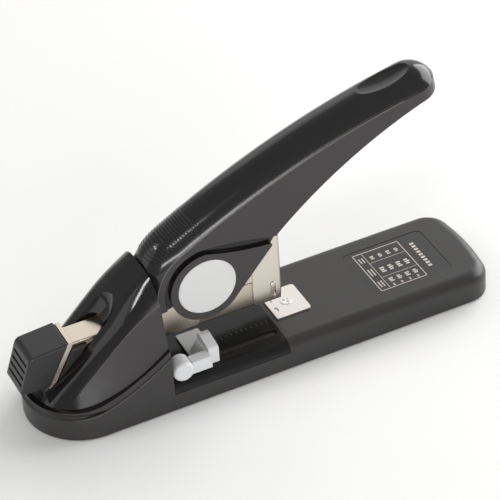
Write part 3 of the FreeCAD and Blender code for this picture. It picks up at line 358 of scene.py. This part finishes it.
def handle_detail():
    """Grip ribs and dots on the nose, and a thin bead along the two upper edges, painted light grey: a
    painted highlight.
    """
    ribs = []
    for i in range(RIBS):
        along = RIB_FIRST + i * RIB_STEP
        half = RIB_HALF if i < RIBS - 1 else LAST_RIB_HALF
        across = [half * (2.0 * k / (RIB_POINTS - 1) - 1.0) for k in range(RIB_POINTS)]
        ribs.append([top_point(along + 0.05 * abs(y / 3.0) ** 2, y, 0.04) for y in across])
    wire_piece("grip_ribs", ribs, 0.32 * MM, 6, "handle_black", "handle")
    creases = []
    for side in (-1, 1):
        creases.append([top_point(CREASE_FIRST + k * CREASE_STEP, side * (HALF - CREASE_SINK), -CREASE_SINK)
                        for k in range(CREASE_POINTS)])
    edges = wire_piece("handle_creases", creases, 0.30 * MM, 8, "handle_black", "handle")
    # The bead is painted light grey: a painted highlight along the crease.
    edges.data.materials[0] = EDGE_HIGHLIGHT
    verts, faces = [], []
    for i in range(DOTS):
        along = DOT_FIRST + DOT_STEP * i
        centre = top_point(along, DOT_Y, 0.0)
        up = (top_point(along, DOT_Y, 1.0) - centre).normalized()
        dome(centre, up, 0.55 * MM, verts, faces)
    mesh_piece("grip_dots", verts, faces, "handle_black", "handle")


GROOVE_FLOOR = 13.6
GROOVE_HALF = 2.9
GROOVE_ROUND = 25.4
GROOVE_DEPTHS = (GROOVE_FLOOR - 0.02, GROOVE_FLOOR + 0.06)


def groove_points():
    """Middle of the groove between the handle's side and the teardrop cover, front end first."""
    points = [(158.4, 83.0), (153.0, 83.5), (147.0, 84.4), (141.0, 85.6), (135.0, 87.0), (129.0, 88.5),
              (122.5, 90.0)]
    for k in range(13):
        angle = math.radians(92.0 + k * 9.0)
        points.append((PIVOT[0] + GROOVE_ROUND * math.cos(angle),
                       PIVOT[1] + GROOVE_ROUND * math.sin(angle)))
    return [Vector((x, z)) for x, z in points]


def groove_shade_lining():
    """Dark glossy lining on the groove floor round each side cover: painted shade in the recess."""
    middle = groove_points()
    count = len(middle)
    verts, faces = [], []
    for side in (-1, 1):
        start = len(verts)
        for i, point in enumerate(middle):
            along = (middle[min(i + 1, count - 1)] - middle[max(i - 1, 0)]).normalized()
            out = Vector((along.y, -along.x)) * GROOVE_HALF
            for spot in (point + out, point - out):
                for depth in GROOVE_DEPTHS:
                    verts.append(row(spot.x, side * depth, spot.y))
        for i in range(count - 1):
            a = start + 4 * i
            faces.extend([(a, a + 4, a + 6, a + 2), (a + 1, a + 3, a + 7, a + 5),
                          (a, a + 1, a + 5, a + 4), (a + 2, a + 6, a + 7, a + 3)])
        last = start + 4 * (count - 1)
        faces.extend([(start, start + 2, start + 3, start + 1), (last, last + 1, last + 3, last + 2)])
    lining = mesh_piece("groove_shade_lining", verts, faces, "handle_black", "handle", smooth=False)
    lining.data.materials[0] = GROOVE_SHADE


def dome(centre, up, radius, verts, faces):
    """Adds a small ball, half sunk, to verts and faces."""
    one = up.orthogonal().normalized()
    two = up.cross(one)
    rings, sides = DOME_RINGS, DOME_SIDES
    start = len(verts)
    for i in range(1, rings):
        lat = math.pi * i / rings
        for k in range(sides):
            turn = 2 * math.pi * k / sides
            ring = (one * math.cos(turn) + two * math.sin(turn)) * math.sin(lat)
            verts.append(centre + (ring + up * math.cos(lat)) * radius)
    verts.append(centre + up * radius)
    verts.append(centre - up * radius)
    top = len(verts) - 2
    for i in range(rings - 2):
        for k in range(sides):
            a = start + i * sides + k
            b = start + i * sides + (k + 1) % sides
            faces.append((a, a + sides, b + sides, b))
    for k in range(sides):
        faces.append((top, start + k, start + (k + 1) % sides))
        last = start + (rings - 2) * sides
        faces.append((top + 1, last + (k + 1) % sides, last + k))


# ------------------------------------------------------------------ label
def flat_bar(x0, x1, y0, y1, z0, z1, verts, faces):
    """Adds a thin printed mark, as a low block, to verts and faces."""
    start = len(verts)
    for z in (z0, z1):
        verts.extend([row(x0, y0, z), row(x1, y0, z), row(x1, y1, z), row(x0, y1, z)])
    faces.append(tuple(start + k for k in (4, 5, 6, 7)))
    for k in range(4):
        following = (k + 1) % 4
        faces.append((start + k, start + following, start + 4 + following, start + 4 + k))
    faces.append(tuple(start + k for k in (3, 2, 1, 0)))


PRINT_LOW, PRINT_HIGH = 18.22, 18.30
FRAME_X, FRAME_Y = (228.0, 260.0), (-20.0, 19.0)
FRAME_WIDE, RULE_WIDE = 0.5, 0.25
MARK_ROWS = ((12.0, 2.4, 3.6), (-1.6, 3.0, 5.6), (-12.6, 3.0, 4.2), (-17.6, 1.4, 2.2))
HEAD_ROWS = ((12.0, 5.0), (-1.0, 7.0), (-13.5, 6.0))


def label_print():
    """Generic size table: a frame, rules and small marks with no letters in them."""
    (x0, x1), (y0, y1) = FRAME_X, FRAME_Y
    bars = [(x0, x1, y0, y0 + FRAME_WIDE), (x0, x1, y1 - FRAME_WIDE, y1),
            (x0, x0 + FRAME_WIDE, y0, y1), (x1 - FRAME_WIDE, x1, y0, y1)]
    for y in (-8.2, 7.4):
        bars.append((x0 + 7.0, x1 - 1.0, y, y + RULE_WIDE))
    bars.append((x0 + 6.2, x0 + 6.5, y0 + 1.0, y1 - 1.0))
    for i in range(4):
        x = x0 + 9.4 + i * 5.6
        for y, wide, tall in MARK_ROWS:
            for part in range(3):
                step = y + (part - 1) * tall / 3
                shown = wide * (1.0 - 0.2 * ((i + part) % 2))
                bars.append((x, x + shown, step - tall * 0.11, step + tall * 0.11))
    for y, tall in HEAD_ROWS:
        for part in range(2):
            bars.append((x0 + 2.0 + part * 2.0, x0 + 2.7 + part * 2.0, y - tall / 2, y + tall / 2))
    for i in range(9):
        bars.append((265.0, 267.6, -13.0 + i * 3.0, -11.2 + i * 3.0))
    verts, faces = [], []
    for bar in bars:
        flat_bar(*bar, PRINT_LOW, PRINT_HIGH, verts, faces)
    marks = mesh_piece("label_marks", verts, faces, "stop_white", "base", smooth=False)
    marks.data.materials[0] = PRINT


TICKS, TICK_FIRST, TICK_STEP, TICK_WIDE = 15, 106.0, 3.4, 0.5
TICK_EDGE = -9.6
TICK_LOW, TICK_HIGH = 18.45, 18.58


def throat_ticks():
    """Small moulded depth ticks along the throat insert, every fifth one longer."""
    verts, faces = [], []
    for i in range(TICKS):
        x = TICK_FIRST + i * TICK_STEP
        reach = 3.4 if i % 5 == 0 else 2.2
        flat_bar(x, x + TICK_WIDE, TICK_EDGE - reach, TICK_EDGE, TICK_LOW, TICK_HIGH, verts, faces)
    ticks = mesh_piece("throat_ticks", verts, faces, "insert_black", "base", smooth=False)
    ticks.data.materials[0] = TICK


springs()
handle_detail()
throat_ticks()
groove_shade_lining()
label_print()


# ------------------------------------------------------------------ stage, light and camera
AIM = Vector((0.0, 0.0, 0.05))
# Each light: its name, the way to it, its distance in metres, its size in metres and its power in watts.
LIGHTS = [
    ("far_wall", (0.35, 0.78, 0.52), 1.9, (2.2, 1.2), 5.0),
    ("left_wall", (-0.90, 0.25, 0.42), 1.8, (1.2, 0.8), 2.4),
    ("left_box", (-0.72, 0.20, 0.66), 1.3, (0.34, 0.05), 1.0),
    ("crease_box", (-0.47, -0.46, 0.75), 1.4, (0.30, 0.04), 0.9),
    ("right_wall", (0.93, 0.15, 0.44), 2.6, (3.0, 2.0), 88.0),
    ("front_fill", (-0.25, -0.93, 0.25), 1.6, (1.4, 0.12), 9.0),
]
# The photograph's view: angles in degrees, the rest in metres, and the lens in mm.
VIEW_AZIMUTH, VIEW_ELEVATION, VIEW_ROLL = -23.673, 38.204, -4.037
VIEW_TARGET = Vector((0.0011, 0.0, 0.0684))
VIEW_DISTANCE = 1.4724
VIEW_LENS = 178.4
FLOOR_HALF = 6.0


def area_light(name, place, size, power):
    """A rectangular light at place that looks at AIM."""
    light = bpy.data.lights.new(name, "AREA")
    light.shape = "RECTANGLE"
    light.size, light.size_y = size
    light.energy = power
    obj = bpy.data.objects.new(name, light)
    scene.collection.objects.link(obj)
    obj.location = place
    obj.rotation_euler = (AIM - place).to_track_quat("-Z", "Y").to_euler()


def stage_floor():
    """A wide sheet of white paper under the part."""
    size = FLOOR_HALF
    mesh = bpy.data.meshes.new("floor")
    corners = [(-size, -size, 0), (size, -size, 0), (size, size, 0), (-size, size, 0)]
    mesh.from_pydata(corners, [], [(0, 1, 2, 3)])
    floor = bpy.data.objects.new("floor", mesh)
    scene.collection.objects.link(floor)
    floor.data.materials.append(material("floor_paper", (0.93, 0.93, 0.93), 0.65, mottle=0.004, spec=0.2))


def camera():
    """The photograph's viewpoint: a long lens, turned slightly about its own axis."""
    azimuth, elevation, roll = (math.radians(a) for a in (VIEW_AZIMUTH, VIEW_ELEVATION, VIEW_ROLL))
    back = Vector((math.sin(azimuth) * math.cos(elevation), -math.cos(azimuth) * math.cos(elevation),
                   math.sin(elevation)))
    right = Vector((math.cos(azimuth), math.sin(azimuth), 0.0))
    up = back.cross(right)
    turned_right = right * math.cos(roll) + up * math.sin(roll)
    turned_up = up * math.cos(roll) - right * math.sin(roll)
    data = bpy.data.cameras.new("camera")
    data.lens = VIEW_LENS
    data.sensor_width = 36.0
    data.clip_end = 20.0
    obj = bpy.data.objects.new("camera", data)
    scene.collection.objects.link(obj)
    place = VIEW_TARGET + back * VIEW_DISTANCE
    basis = Matrix((turned_right, turned_up, back)).transposed().to_4x4()
    obj.matrix_world = Matrix.Translation(place) @ basis
    scene.camera = obj


def world():
    """Soft, slightly warm light, brighter high on the far right: what the black plastic mirrors."""
    sky = bpy.data.worlds.new("studio")
    sky.use_nodes = True
    nodes, links = sky.node_tree.nodes, sky.node_tree.links
    coords = nodes.new("ShaderNodeTexCoord")
    bright = nodes.new("ShaderNodeVectorMath")
    bright.operation = "DOT_PRODUCT"
    bright.inputs[1].default_value = Vector((0.62, 0.70, 0.34)).normalized()
    links.new(coords.outputs["Generated"], bright.inputs[0])
    ramp = nodes.new("ShaderNodeMapRange")
    ramp.interpolation_type = "SMOOTHSTEP"
    ramp.inputs["From Min"].default_value = 0.45
    ramp.inputs["From Max"].default_value = 0.92
    ramp.inputs["To Min"].default_value = 0.36
    ramp.inputs["To Max"].default_value = 0.6
    links.new(bright.outputs["Value"], ramp.inputs["Value"])
    background = nodes["Background"]
    background.inputs["Color"].default_value = (1.0, 0.985, 0.97, 1.0)
    links.new(ramp.outputs["Result"], background.inputs["Strength"])
    scene.world = sky


stage_floor()
camera()
world()
for title, direction, distance, size, power in LIGHTS:
    area_light(title, Vector(direction).normalized() * distance, size, power)
scene.view_settings.view_transform = "Standard"
